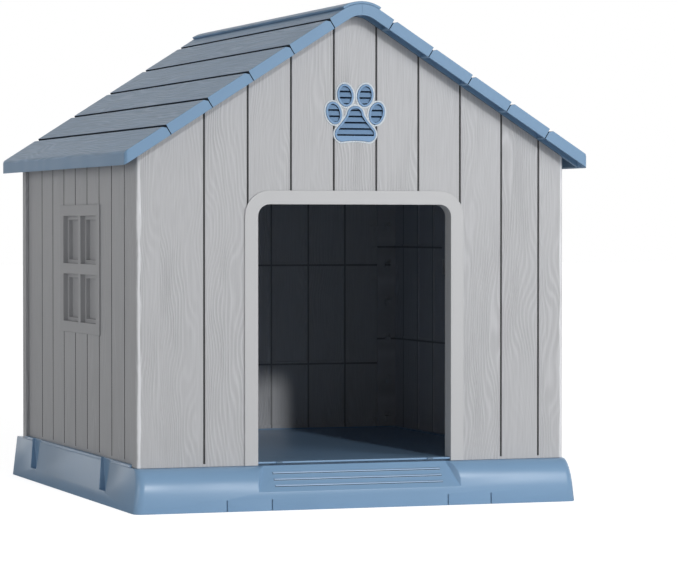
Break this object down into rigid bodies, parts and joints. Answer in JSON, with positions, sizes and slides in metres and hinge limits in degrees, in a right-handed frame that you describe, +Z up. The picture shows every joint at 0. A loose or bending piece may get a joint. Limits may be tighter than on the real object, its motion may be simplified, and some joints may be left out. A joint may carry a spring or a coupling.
{
  "type": "dog house",
  "caption": "Plastic kennel of grey plank-look walls on a blue plinth with an entry ramp, a framed open doorway, blind windows, a paw-shaped louvred vent and a lift-off gabled plank-look roof.",
  "frame": {"origin": "on the ground, at the centre of the house's footprint", "axes": "+X to the right for someone facing the doorway, -Y out of the doorway, +Z up"},
  "size_m": [0.7866, 0.852, 0.8134],
  "materials": {
    "grey_plank": "embossed wood grain",
    "grey_trim": "smooth satin",
    "blue_roof": "embossed wood grain",
    "blue_base": "smooth satin",
    "blue_vent": "smooth satin"
  },
  "bodies": {
    "house": {"plinth": "blue_base", "floor_panel": "blue_base", "front_wall": "grey_plank", "back_wall": "grey_plank", "left_wall": "grey_plank", "right_wall": "grey_plank", "door_frame": "grey_trim", "left_window": "grey_trim", "right_window": "grey_trim", "vent_palm": "blue_vent", "vent_toe_outer_left": "blue_vent", "vent_toe_inner_left": "blue_vent", "vent_toe_inner_right": "blue_vent", "vent_toe_outer_right": "blue_vent"},
    "roof": {"roof_left": "blue_roof", "roof_right": "blue_roof", "ridge_cap": "blue_roof"}
  },
  "joints": [
    {"name": "roof_lift", "type": "slide", "parent": "house", "child": "roof", "axis": [0, 0, 1], "range_m": [0, 0.25]}
  ]
}
